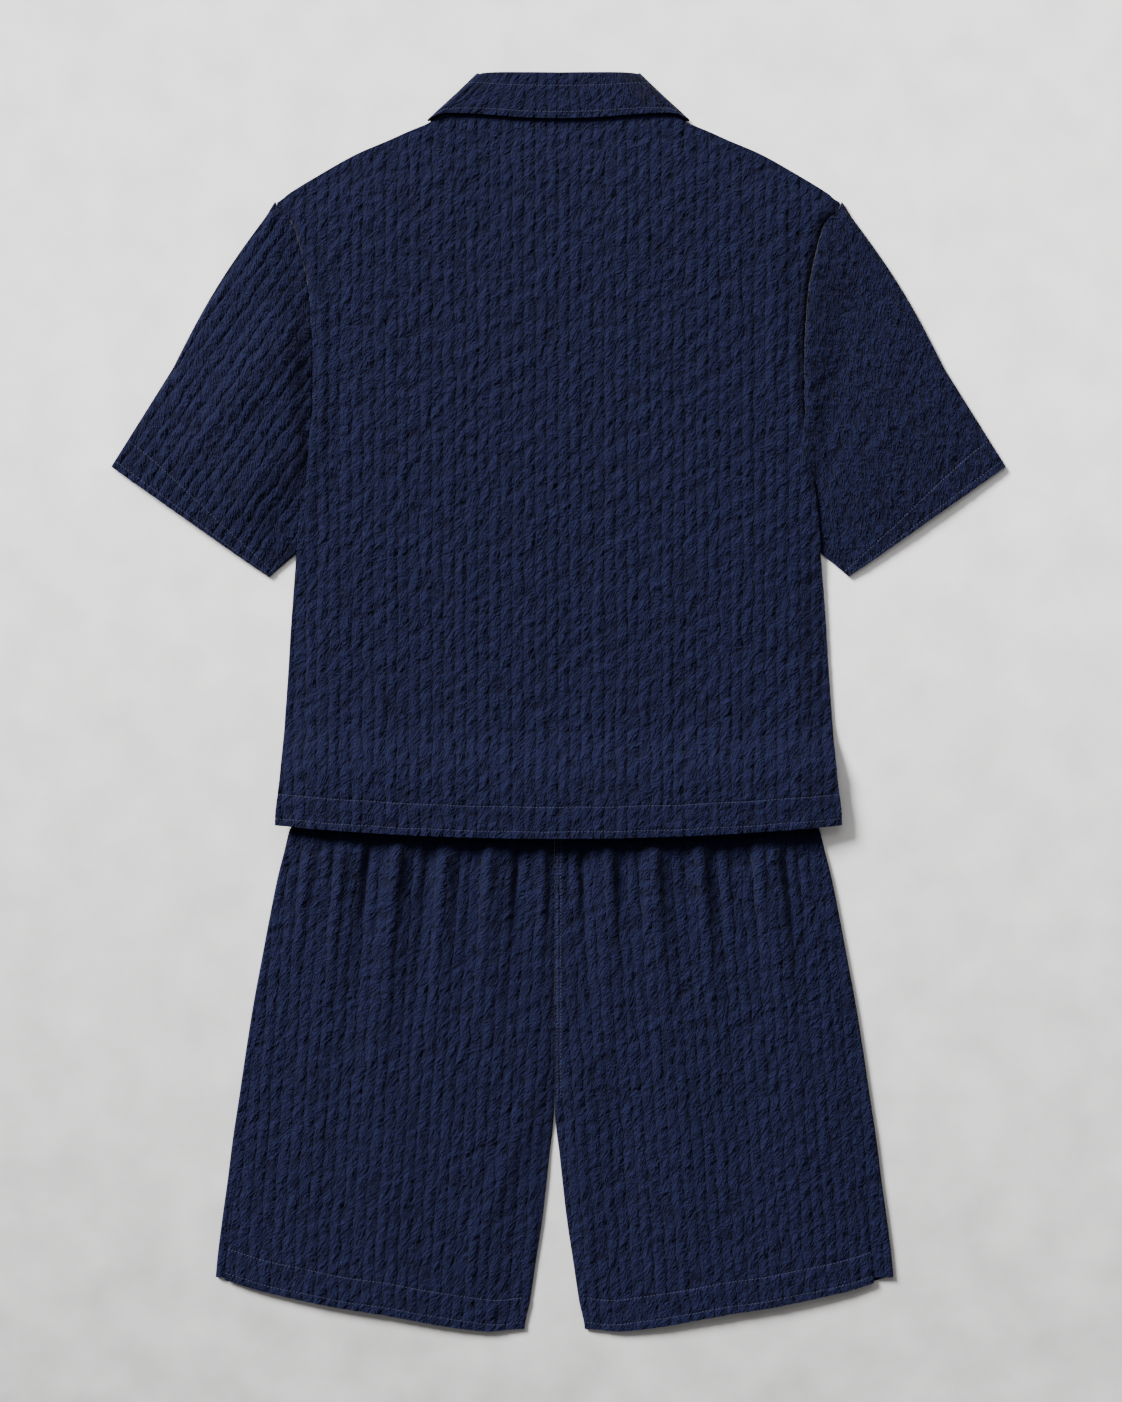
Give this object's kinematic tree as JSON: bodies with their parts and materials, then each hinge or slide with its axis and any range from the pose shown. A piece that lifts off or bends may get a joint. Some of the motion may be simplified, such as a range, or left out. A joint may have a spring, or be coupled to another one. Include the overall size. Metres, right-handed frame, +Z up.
{
  "type": "shirt and shorts set",
  "caption": "Short-sleeved camp-collar seersucker shirt laid flat, back uppermost, with its hem over the waist of matching loose shorts.",
  "frame": {"origin": "on the surface that the set lies on, below the middle of its outline", "axes": "+Y from the shorts' hems to the collar, +X to the wearer's right sleeve, +Z up from the surface, away from the shirt's fronts"},
  "size_m": [0.8984, 1.261, 0.0181],
  "materials": {
    "navy_seersucker": "puckered woven cotton, matt with a faint dry sheen",
    "waist_elastic": "elastic waistband covered in the same cloth, matt",
    "navy_button": "dyed resin, satin"
  },
  "bodies": {
    "root": {"shirt_back": "navy_seersucker", "shirt_front_left": "navy_seersucker", "shirt_front_right": "navy_seersucker", "sleeve_left": "navy_seersucker", "sleeve_right": "navy_seersucker", "collar": "navy_seersucker", "button_1": "navy_button", "button_2": "navy_button", "button_3": "navy_button", "button_4": "navy_button", "button_5": "navy_button", "shorts_back_left": "navy_seersucker", "shorts_back_right": "navy_seersucker", "shorts_front_left": "navy_seersucker", "shorts_front_right": "navy_seersucker", "waistband": "waist_elastic"}
  },
  "joints": []
}
